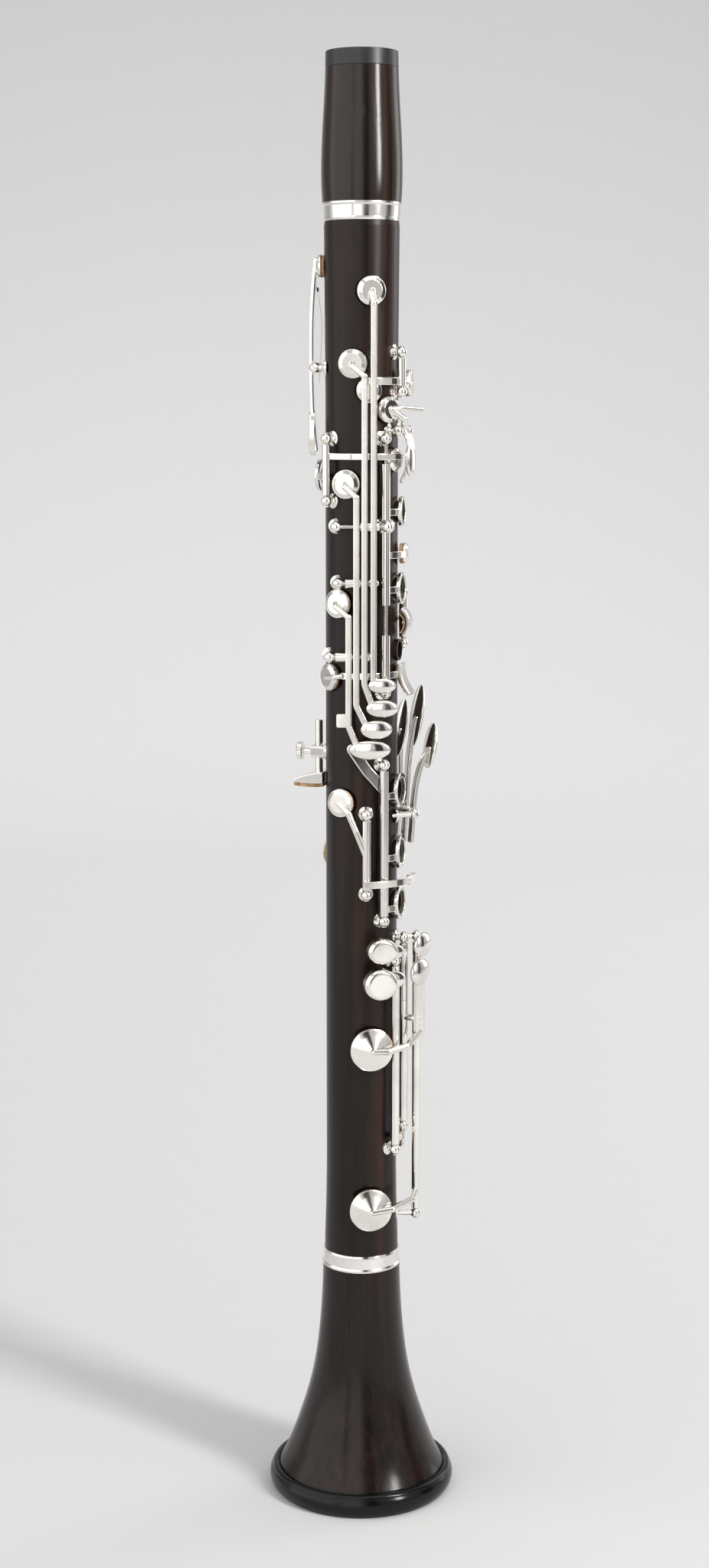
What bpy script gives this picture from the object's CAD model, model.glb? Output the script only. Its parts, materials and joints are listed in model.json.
import json
from math import cos, pi, radians, sin

import bmesh
import bpy
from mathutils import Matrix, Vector


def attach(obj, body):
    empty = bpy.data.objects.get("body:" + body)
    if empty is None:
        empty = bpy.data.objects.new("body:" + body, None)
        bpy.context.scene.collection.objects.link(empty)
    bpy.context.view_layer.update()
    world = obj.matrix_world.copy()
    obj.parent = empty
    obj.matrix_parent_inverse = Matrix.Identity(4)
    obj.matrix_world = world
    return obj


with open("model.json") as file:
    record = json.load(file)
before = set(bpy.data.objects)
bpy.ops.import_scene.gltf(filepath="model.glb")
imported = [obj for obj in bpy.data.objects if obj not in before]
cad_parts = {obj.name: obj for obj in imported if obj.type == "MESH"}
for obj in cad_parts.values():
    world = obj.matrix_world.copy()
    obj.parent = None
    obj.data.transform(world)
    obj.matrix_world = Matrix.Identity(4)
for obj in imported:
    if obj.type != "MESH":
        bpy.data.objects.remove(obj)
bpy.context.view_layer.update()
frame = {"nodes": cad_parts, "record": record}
nodes = frame["nodes"]
scene = bpy.context.scene

MM = 0.001


# ---------------------------------------------------------------- material building blocks
class Shader:
    """A node material with short calls for the nodes it is built from."""

    def __init__(self, name):
        self.material = bpy.data.materials.new(name)
        self.material.use_nodes = True
        self.tree = self.material.node_tree
        self.bsdf = self.tree.nodes["Principled BSDF"]
        self.place = self.tree.nodes.new("ShaderNodeTexCoord").outputs["Object"]

    def node(self, kind, **inputs):
        made = self.tree.nodes.new(kind)
        for key, value in inputs.items():
            socket = made.inputs[key.replace("_", " ")]
            if isinstance(value, bpy.types.NodeSocket):
                self.tree.links.new(value, socket)
            else:
                socket.default_value = value
        return made

    def stretched(self, scale):
        """The object's coordinates with each axis scaled."""
        return self.node("ShaderNodeMapping", Vector=self.place, Scale=scale).outputs["Vector"]

    def noise(self, scale, size=1.0, detail=4.0, rough=0.55):
        made = self.node("ShaderNodeTexNoise", Vector=self.stretched(scale), Scale=size)
        made.inputs["Detail"].default_value = detail
        made.inputs["Roughness"].default_value = rough
        return made.outputs["Fac"]

    def cells(self, size):
        made = self.node("ShaderNodeTexVoronoi", Vector=self.place, Scale=size)
        return made.outputs["Distance"]

    def ramp(self, source, stops):
        made = self.tree.nodes.new("ShaderNodeValToRGB")
        self.tree.links.new(source, made.inputs["Fac"])
        ramp = made.color_ramp
        while len(ramp.elements) < len(stops):
            ramp.elements.new(0.5)
        for element, (position, colour) in zip(ramp.elements, stops):
            element.position = position
            element.color = (*colour, 1.0)
        return made.outputs["Color"]

    def mapped(self, source, low, high, start=0.0, end=1.0):
        made = self.node("ShaderNodeMapRange", Value=source)
        made.inputs["From Min"].default_value = start
        made.inputs["From Max"].default_value = end
        made.inputs["To Min"].default_value = low
        made.inputs["To Max"].default_value = high
        return made.outputs["Result"]

    def mixed(self, factor, first, second):
        made = self.tree.nodes.new("ShaderNodeMix")
        made.data_type = "RGBA"
        for socket, value in ((made.inputs[0], factor), (made.inputs[6], first), (made.inputs[7], second)):
            if isinstance(value, bpy.types.NodeSocket):
                self.tree.links.new(value, socket)
            elif isinstance(value, tuple):
                socket.default_value = (*value, 1.0)
            else:
                socket.default_value = value
        return made.outputs[2]

    def bump(self, height, distance, strength=1.0, below=None):
        made = self.node("ShaderNodeBump", Height=height, Distance=distance, Strength=strength)
        if below is not None:
            self.tree.links.new(below, made.inputs["Normal"])
        return made.outputs["Normal"]

    def set(self, **inputs):
        for key, value in inputs.items():
            socket = self.bsdf.inputs[key.replace("_", " ")]
            if isinstance(value, bpy.types.NodeSocket):
                self.tree.links.new(value, socket)
            else:
                socket.default_value = value
        return self.material


def grenadilla(name, shine=(0.26, 0.38), reflect=0.27, warmth=0.85, gloss_below=None):
    """Near-black hardwood: fine pores and streaks along the bore, reddish where light falls."""
    s = Shader(name)
    streak = s.noise((300.0, 300.0, 9.0), detail=7.0, rough=0.65)
    broad = s.noise((75.0, 75.0, 4.0), detail=3.0)
    pores = s.noise((2100.0, 2100.0, 100.0), detail=2.0, rough=0.5)
    dark = s.ramp(streak, [(0.32, (0.0048, 0.0032, 0.0028)), (0.66, (0.0140, 0.0082, 0.0066))])
    warm = s.ramp(streak, [(0.36, (0.0105, 0.0052, 0.0038)), (0.70, (0.052, 0.0205, 0.0125))])
    colour = s.mixed(s.mapped(broad, 0.0, warmth, 0.42, 0.72), dark, warm)
    rough = s.mapped(streak, *shine, 0.3, 0.7)
    if gloss_below is not None:
        height = s.node("ShaderNodeSeparateXYZ", Vector=s.place).outputs["Z"]
        step = s.mapped(height, 0.0, 1.0, gloss_below, gloss_below + 0.0006)
        colour = s.mixed(step, (0.0035, 0.0035, 0.0038), colour)
        gloss = s.node("ShaderNodeMapRange", Value=step)
        gloss.inputs["To Min"].default_value = 0.16
        s.tree.links.new(rough, gloss.inputs["To Max"])
        rough = gloss.outputs["Result"]
    fine = s.bump(pores, 0.00003, 0.30)
    relief = s.bump(streak, 0.00005, 0.30, fine)
    return s.set(Base_Color=colour, Roughness=rough, Normal=relief, Specular_IOR_Level=reflect)


def plated(name, tint=(0.93, 0.905, 0.86), rough=(0.07, 0.20)):
    """Polished silver plate with faint clouding, hairline scratches and a slightly warm tone."""
    s = Shader(name)
    cloud = s.noise((90.0, 90.0, 60.0), detail=5.0)
    hair = s.noise((500.0, 500.0, 2600.0), detail=3.0, rough=0.7)
    dull = tuple(0.84 * c for c in tint)
    colour = s.ramp(cloud, [(0.30, dull), (0.60, tint)])
    roughness = s.mapped(cloud, rough[1], rough[0], 0.3, 0.7)
    normal = s.bump(hair, 0.000012, 0.25)
    return s.set(Base_Color=colour, Metallic=1.0, Roughness=roughness, Normal=normal)


def steel(name, colour, rough):
    s = Shader(name)
    turned = s.noise((300.0, 300.0, 4000.0), detail=3.0)
    dark = tuple(0.75 * c for c in colour)
    return s.set(
        Base_Color=s.ramp(turned, [(0.35, dark), (0.65, colour)]), Metallic=1.0,
        Roughness=s.mapped(turned, rough * 0.8, rough * 1.3, 0.3, 0.7), Normal=s.bump(turned, 0.00001, 0.3),
    )


def cork(name):
    s = Shader(name)
    grains = s.cells(900.0)
    specks = s.noise((420.0, 420.0, 420.0), detail=6.0, rough=0.7)
    tans = [
        (0.32, (0.16, 0.075, 0.032)),
        (0.5, (0.42, 0.25, 0.12)),
        (0.7, (0.60, 0.41, 0.23)),
    ]
    colour = s.ramp(specks, tans)
    normal = s.bump(grains, 0.0002, 0.6)
    return s.set(Base_Color=colour, Roughness=s.mapped(specks, 0.65, 0.9), Normal=normal)


def hide(name):
    """Thin tan skin stretched over felt."""
    s = Shader(name)
    wrinkle = s.noise((700.0, 700.0, 700.0), detail=5.0)
    colour = s.ramp(wrinkle, [(0.3, (0.30, 0.155, 0.070)), (0.7, (0.52, 0.31, 0.155))])
    normal = s.bump(wrinkle, 0.0001, 0.5)
    return s.set(Base_Color=colour, Roughness=s.mapped(wrinkle, 0.5, 0.7), Normal=normal)


def lacquer(name):
    s = Shader(name)
    haze = s.noise((160.0, 160.0, 160.0), detail=4.0)
    colour = s.ramp(haze, [(0.3, (0.012, 0.012, 0.013)), (0.7, (0.022, 0.021, 0.021))])
    return s.set(Base_Color=colour, Roughness=s.mapped(haze, 0.28, 0.42), Normal=s.bump(haze, 0.00002, 0.2))


def paper(name, back_direction):
    """Studio paper: a little greyer underfoot and toward the top of the wall."""
    s = Shader(name)
    tooth = s.noise((40.0, 40.0, 40.0), detail=3.0)
    away = s.node("ShaderNodeVectorMath", Vector=s.place)
    away.operation = "DOT_PRODUCT"
    away.inputs[1].default_value = back_direction
    height = s.node("ShaderNodeSeparateXYZ", Vector=s.place).outputs["Z"]
    along = s.node("ShaderNodeMath")
    s.tree.links.new(s.mapped(away.outputs["Value"], 0.0, 0.5, 0.1, 1.5), along.inputs[0])
    s.tree.links.new(s.mapped(height, 0.0, 0.5, 0.05, 1.15), along.inputs[1])
    tones = [
        (0.0, (0.600, 0.605, 0.615)),
        (0.5, (0.765, 0.765, 0.775)),
        (1.0, (0.545, 0.545, 0.555)),
    ]
    pale = s.ramp(along.outputs["Value"], tones)
    speckled = s.mixed(s.mapped(tooth, 0.0, 0.04), pale, (0.9, 0.9, 0.9))
    return s.set(Base_Color=speckled, Roughness=0.9)


wood_material = grenadilla("grenadilla")
barrel_material = grenadilla("grenadilla_barrel", shine=(0.15, 0.22), reflect=0.42)
bead_top = 0.0099
bell_material = grenadilla(
    "grenadilla_bell", shine=(0.17, 0.24), reflect=0.28, warmth=0.35, gloss_below=bead_top
)
silver_material = plated("silver_plate")
ring_material = plated("ring_silver", tint=(0.90, 0.88, 0.85), rough=(0.10, 0.24))
steel_material = steel("rod_steel", (0.62, 0.60, 0.57), 0.22)
spring_material = steel("blued_spring", (0.05, 0.055, 0.07), 0.3)
cork_material = cork("cork")
pad_material = hide("pad_skin")
black_material = lacquer("black_ring")

slot_materials = {
    "grenadilla": wood_material,
    "silver": silver_material,
    "steel": steel_material,
    "cork": cork_material,
    "pad": pad_material,
    "black_ring": black_material,
}
special_materials = {
    "barrel": barrel_material,
    "bell": bell_material,
    "bell_ring": ring_material,
    "barrel_ring": ring_material,
}
for part in frame["record"]["subparts"]:
    node = nodes[part["node"]]
    material = special_materials.get(part["node"], slot_materials[part["material_slot"]])
    if not node.material_slots:
        node.data.materials.append(material)
    for material_slot in node.material_slots:
        material_slot.material = material

# ---------------------------------------------------------------- small pieces on the keywork
# In mm: the feet of the lower and upper joints, the body's radius, the hinges' distance out.
LOWER, UPPER = 106.0, 340.6
BODY = 14.6
HINGE = BODY + 3.7
SHARP_EDGE = radians(35)


def outward(angle):
    return Vector((cos(radians(angle)), sin(radians(angle)), 0.0))


def across(angle):
    return Vector((-sin(radians(angle)), cos(radians(angle)), 0.0))


def spot(angle, height, out, side=0.0):
    """A point given as angle round the bore, height, distance out and distance across, all in mm."""
    return (outward(angle) * out + across(angle) * side + Vector((0, 0, height))) * MM


class Piece:
    """A mesh put together from turned, tubular and ribbon-like shapes, then hung on a CAD body."""

    def __init__(self, name, body, slot, material):
        self.name, self.body, self.slot, self.material = name, body, slot, material
        self.mesh = bmesh.new()

    def loops(self, rows, closed=False):
        rings = [[self.mesh.verts.new(p) for p in row] for row in rows]
        pairs = list(zip(rings, rings[1:]))
        if closed:
            pairs.append((rings[-1], rings[0]))
        for lower, upper in pairs:
            for i, vert in enumerate(lower):
                j = (i + 1) % len(lower)
                self.mesh.faces.new((vert, lower[j], upper[j], upper[i]))
        if not closed:
            self.mesh.faces.new(list(reversed(rings[0])))
            self.mesh.faces.new(rings[-1])

    def turned(self, origin, axis, outline, sides=24, ribs=0, depth=0.0):
        """Turns (radius, height) points, in mm, about an axis; ribs make a knurled edge."""
        axis = axis.normalized()
        u = axis.orthogonal().normalized()
        v = axis.cross(u)
        count = ribs * 2 if ribs else sides
        rows = []
        for radius, height in outline:
            row = []
            for i in range(count):
                turn = 2 * pi * i / count
                reach = radius - (depth if ribs and i % 2 else 0.0)
                row.append(origin + (u * cos(turn) + v * sin(turn)) * reach * MM + axis * height * MM)
            rows.append(row)
        self.loops(rows)
        return self

    def hoop(self, origin, axis, radius, thick, sides=40):
        """A thin round ring about an axis."""
        axis = axis.normalized()
        u = axis.orthogonal().normalized()
        v = axis.cross(u)
        rows = []
        for i in range(sides):
            turn = 2 * pi * i / sides
            spoke = u * cos(turn) + v * sin(turn)
            centre = origin + spoke * radius * MM
            row = []
            for k in range(8):
                lean = 2 * pi * k / 8
                row.append(centre + (spoke * cos(lean) + axis * sin(lean)) * thick * MM)
            rows.append(row)
        self.loops(rows, closed=True)
        return self

    def wire(self, points, radius, sides=8):
        rows = []
        for i, point in enumerate(points):
            ahead = points[min(i + 1, len(points) - 1)]
            behind = points[max(i - 1, 0)]
            axis = (ahead - behind).normalized()
            u = axis.cross(Vector((0.3, 0.2, 0.9))).normalized()
            v = axis.cross(u)
            row = []
            for k in range(sides):
                lean = 2 * pi * k / sides
                row.append(point + (u * cos(lean) + v * sin(lean)) * radius * MM)
            rows.append(row)
        self.loops(rows)
        return self

    def ribbon(self, points, width_axis, half_width, thick, face_axis):
        """A flat strip through points, as wide as twice half_width, thickened along face_axis."""
        rows = []
        w = width_axis.normalized() * half_width * MM
        t = face_axis.normalized() * thick * MM
        for point in points:
            rows.append([point - w, point + w, point + w + t, point - w + t])
        self.loops(rows)
        return self

    def done(self, smooth=True):
        bmesh.ops.recalc_face_normals(self.mesh, faces=self.mesh.faces[:])
        data = bpy.data.meshes.new(self.name)
        self.mesh.to_mesh(data)
        self.mesh.free()
        for face in data.polygons:
            face.use_smooth = smooth
        data.materials.append(self.material)
        made = bpy.data.objects.new(self.name, data)
        scene.collection.objects.link(made)
        if smooth:
            data.set_sharp_from_angle(angle=SHARP_EDGE)
        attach(made, self.body)
        return made


def curve(points, steps=8):
    """Points along a smooth line through the given ones."""
    line = []
    for i in range(len(points) - 1):
        p0, p1 = points[max(i - 1, 0)], points[i]
        p2, p3 = points[i + 1], points[min(i + 2, len(points) - 1)]
        for k in range(steps):
            t = k / steps
            line.append(0.5 * (2 * p1 + (p2 - p0) * t + (2 * p0 - 5 * p1 + 4 * p2 - p3) * t * t
                               + (3 * p1 - p0 - 3 * p2 + p3) * t ** 3))
    line.append(points[-1])
    return line


# Pivot screws in the posts, with a slot across each head.
upright = [
    (256.0, HINGE, UPPER + 122.8, UPPER + 138.4), (146.5, HINGE, UPPER + 79.8, UPPER + 104.5),
    (228.5, HINGE, UPPER + 3.2, UPPER + 104.5), (309.0, HINGE, UPPER + 21.0, UPPER + 42.0),
    (227.0, HINGE, LOWER + 143.7, LOWER + 208.5), (203.4, HINGE, LOWER + 155.1, LOWER + 188.3),
    (8.0, HINGE, LOWER + 150.0, LOWER + 185.0), (245.0, HINGE + 0.5, LOWER + 46.0, LOWER + 126.7),
    (270.0, HINGE, LOWER + 54.2, LOWER + 134.8), (285.0, BODY + 8.3, LOWER + 14.4, LOWER + 134.4),
]
crossing = [
    (100.0, UPPER + 132.3, HINGE, -4.6, 4.6), (262.0, UPPER + 107.5, HINGE - 0.3, -4.7, 4.7),
    (197.0, UPPER + 69.9, BODY + 3.5, -10.3, 10.3), (197.0, UPPER + 47.4, BODY + 2.7, -9.6, 4.5),
    (197.0, UPPER + 17.8, BODY + 1.8, -13.0, 1.5), (314.0, LOWER + 186.0, HINGE + 0.4, -11.0, 11.0),
]
screw_ends = []
for angle, out, bottom, top in upright:
    screw_ends.append((spot(angle, bottom, out), Vector((0, 0, -1))))
    screw_ends.append((spot(angle, top, out), Vector((0, 0, 1))))
for angle, height, out, start, end in crossing:
    screw_ends.append((spot(angle, height, out, start), -across(angle)))
    screw_ends.append((spot(angle, height, out, end), across(angle)))
heads = Piece("pivot_screw_heads", "instrument", "silver", silver_material)
slots = Piece("pivot_screw_slots", "instrument", "steel", spring_material)
head_outline = [(0.95, 1.9), (1.0, 2.22), (0.8, 2.36)]
slot_height = 2.33
slot_reach = 0.8
for centre, axis in screw_ends:
    heads.turned(centre, axis, head_outline, sides=20)
    side = axis.orthogonal().normalized()
    face = centre + axis * slot_height * MM
    slot_ends = [face - side * slot_reach * MM, face + side * slot_reach * MM]
    slots.ribbon(slot_ends, axis.cross(side), 0.13, 0.06, axis)
heads.done()
slots.done(smooth=False)

# Needle springs of blued steel, from a post towards the middle of its hinge.
springs = Piece("needle_springs", "instrument", "steel", spring_material)
longest_spring = 18.0
needle_radius = 0.2
for angle, out, bottom, top in upright:
    reach = min(longest_spring, 0.4 * (top - bottom))
    for start, way in ((bottom, 1), (top, -1)):
        needle = [
            spot(angle - 4.0, start, out - 0.6),
            spot(angle - 6.5, start + way * 0.5 * reach, out - 0.7),
            spot(angle - 6.0, start + way * reach, out - 0.9),
        ]
        springs.wire(needle, needle_radius)
springs.done()

# The rolled edge at the mouth of each pad cup: key, angle, height, radius, lift.
cups = [
    ("register_key", 100.0, UPPER + 172.1, 4.6, 0), ("throat_a_key", 238.4, UPPER + 115.9, 5.1, 0),
    ("throat_g_sharp_key", 207.0, UPPER + 123.5, 4.9, 0), ("trill_1_key", 210.4, UPPER + 162.0, 5.6, 0),
    ("trill_2_key", 184.2, UPPER + 133.8, 5.6, 0), ("trill_3_key", 174.3, UPPER + 86.6, 5.6, 0),
    ("trill_4_key", 161.0, UPPER + 39.0, 5.6, 0), ("c_sharp_key", 143.0, UPPER + 9.0, 5.3, 0),
    ("side_f_sharp_key", 165.3, LOWER + 192.6, 5.6, 0), ("f_sharp_key", 47.0, LOWER + 167.4, 8.0, 1.5),
    ("a_flat_key", 303.0, LOWER + 121.0, 5.6, 0), ("low_g_sharp_key", 305.0, LOWER + 47.5, 6.0, 0),
    ("low_f_key", 210.8, LOWER + 90.0, 8.8, 1.5), ("low_e_key", 209.8, LOWER + 21.1, 8.8, 1.5),
]
pad_top = BODY + 1.33
rolled_edges = ((0.25, 0.2), (1.05, 0.12))
for key, angle, height, radius, lift in cups:
    edge = Piece(f"{key}_cup_edge", key, "silver", silver_material)
    for level, thick in rolled_edges:
        edge.hoop(spot(angle, height, pad_top + lift + level), outward(angle), radius - 0.02, thick)
    edge.done()

# The register key's flat spring, held to the lever by a screw.
register_side = 100.0
spring = Piece("register_flat_spring", "register_key", "steel", steel_material)
line = [(17.2, 126.5), (16.3, 140.0), (16.1, 150.0), (17.3, 160.0), (18.8, 166.0)]
points = [spot(register_side, UPPER + height, out) for out, height in line]
spring.ribbon(curve(points), across(register_side), 1.1, 0.3, outward(register_side))
spring.done(smooth=False)
screw = Piece("register_spring_screw", "register_key", "steel", spring_material)
screw_foot = spot(register_side, UPPER + 163.0, 17.6)
screw.turned(screw_foot, -outward(register_side), [(0.9, -0.7), (0.9, 0.1), (0.6, 0.3)])
screw.done()

# Cork under the keys that would click against the wood: key, angle, side, half width,
# thickness, and the (out, height) points that it runs through.
linings = [
    ("sliver_key", 273.0, 0.0, 2.6, -0.5, [(16.2, 34.6), (18.5, 31.8), (18.2, 28.6), (16.8, 26.4)]),
    ("c_sharp_key", 272.0, 0.0, 3.7, -0.5, [(15.8, 12.6), (16.4, 7.8), (19.4, 2.6)]),
    ("trill_1_key", 197.0, 8.2, 2.6, -0.9, [(19.5, 8.8), (19.5, 5.2)]),
    ("trill_3_key", 197.0, 5.9, 2.6, -0.9, [(18.9, -9.2), (18.9, -12.8)]),
]
for key, angle, side, half, thick, line in linings:
    lining = Piece(f"{key}_cork", key, "cork", cork_material)
    points = [spot(angle, UPPER + height, out, side) for out, height in line]
    if len(points) > 2:
        points = curve(points)
    lining.ribbon(points, across(angle), half, thick, outward(angle))
    lining.done(smooth=False)

# The thumb rest's knurled screw head.
knurl = Piece("thumb_screw_knurl", "thumb_screw", "silver", silver_material)
outline = [(3.35, 6.75), (3.62, 7.0), (3.62, 8.7), (3.35, 8.95)]
knurl.turned(spot(93.0, LOWER + 211.2, BODY + 3.4), outward(93.0), outline, ribs=26, depth=0.18)
knurl.done(smooth=False)

# ---------------------------------------------------------------- floor, light and camera
view_azimuth = radians(-73.0)
right = Vector((cos(view_azimuth), sin(view_azimuth), 0.0))
back = Vector((sin(view_azimuth), -cos(view_azimuth), 0.0))


def sweep_backdrop():
    """A floor that curves up into a wall well behind the object."""
    depth, rise, radius, half = 2.6, 5.0, 1.2, 6.0
    steps = 24
    line = [(-6.0, 0.0), (depth - radius, 0.0)]
    line += [
        (depth - radius + radius * sin(pi / 2 * k / steps), radius - radius * cos(pi / 2 * k / steps))
        for k in range(1, steps + 1)
    ]
    line.append((depth, rise))
    mesh = bmesh.new()
    rows = []
    for away, height in line:
        centre = Vector((0, 0, height)) - back * away
        rows.append([mesh.verts.new(centre + right * side) for side in (-half, half)])
    for a, b in zip(rows, rows[1:]):
        mesh.faces.new((a[0], a[1], b[1], b[0])).smooth = True
    data = bpy.data.meshes.new("backdrop")
    mesh.to_mesh(data)
    mesh.free()
    backdrop = bpy.data.objects.new("backdrop", data)
    scene.collection.objects.link(backdrop)
    data.materials.append(paper("backdrop_paper", -back))


def soft_light(name, place, aim, size, power, colour=(1.0, 1.0, 1.0)):
    light = bpy.data.lights.new(name, "AREA")
    light.shape = "RECTANGLE"
    light.size, light.size_y = size
    light.energy = power
    light.color = colour
    lamp = bpy.data.objects.new(name, light)
    lamp.location = place
    lamp.rotation_euler = (Vector(aim) - Vector(place)).to_track_quat("-Z", "Y").to_euler()
    scene.collection.objects.link(lamp)


def flag(name, place, width, height):
    """A dark card that stands outside the picture and gives the bright metal its contrast."""
    mesh = bmesh.new()
    along = Vector((-place.y, place.x, 0)).normalized() * (width / 2)
    low, high = Vector((0, 0, place.z - height / 2)), Vector((0, 0, place.z + height / 2))
    foot = Vector((place.x, place.y, 0))
    corners = (low - along, low + along, high + along, high - along)
    mesh.faces.new([mesh.verts.new(foot + corner) for corner in corners])
    data = bpy.data.meshes.new(name)
    mesh.to_mesh(data)
    mesh.free()
    card = bpy.data.objects.new(name, data)
    scene.collection.objects.link(card)
    data.materials.append(lacquer(name + "_cloth"))


def around(turn, distance, height):
    """A point round the object: turn is in degrees to the right of the camera."""
    way = back * cos(radians(turn)) + right * sin(radians(turn))
    return way * distance + Vector((0, 0, height))


sweep_backdrop()
middle = Vector((0, 0, 0.3))
warm = (1.0, 0.975, 0.94)
soft_light("strip", around(50, 1.25, 1.08), Vector((0, 0, 0.6)), (0.20, 1.0), 19.0, (1.0, 0.975, 0.945))
soft_light("left", around(-64, 1.5, 0.85), middle, (2.2, 1.8), 12.5, warm)
soft_light("front", around(-12, 1.8, 0.65), middle, (0.8, 1.6), 3.8, warm)
soft_light("rim", around(125, 1.5, 0.8), middle, (0.6, 1.4), 5.0, (1.0, 0.98, 0.95))
soft_light("top", around(20, 0.5, 2.3), middle, (1.8, 1.8), 8.0)
wall_middle = -back * 2.6 + Vector((0, 0, 0.9))
soft_light("wall", around(180, 1.0, 2.0), wall_middle, (2.4, 0.8), 12.0)
flag("flag_front", around(14, 1.6, 0.55), 0.40, 1.9)
flag("flag_right", around(88, 1.1, 0.6), 0.35, 1.5)

world = bpy.data.worlds.new("studio")
world.use_nodes = True
sky = world.node_tree.nodes["Background"]
sky.inputs["Color"].default_value = (0.95, 0.94, 0.925, 1.0)
sky.inputs["Strength"].default_value = 0.60
scene.world = world
scene.view_settings.view_transform = "Standard"

# The camera stands level with the clarinet's upper part and looks down along it.
camera_distance = 0.9774
camera_height = 0.4656
camera_side = -0.0029
camera_pitch = radians(9.38)
camera_lens = 55.27705
camera_data = bpy.data.cameras.new("camera")
camera_data.sensor_fit = "VERTICAL"
camera_data.sensor_height = 36.0
camera_data.lens = camera_lens
camera = bpy.data.objects.new("camera", camera_data)
camera.location = back * camera_distance + right * camera_side + Vector((0, 0, camera_height))
camera.rotation_euler = (pi / 2 - camera_pitch, 0.0, view_azimuth)
scene.collection.objects.link(camera)
scene.camera = camera
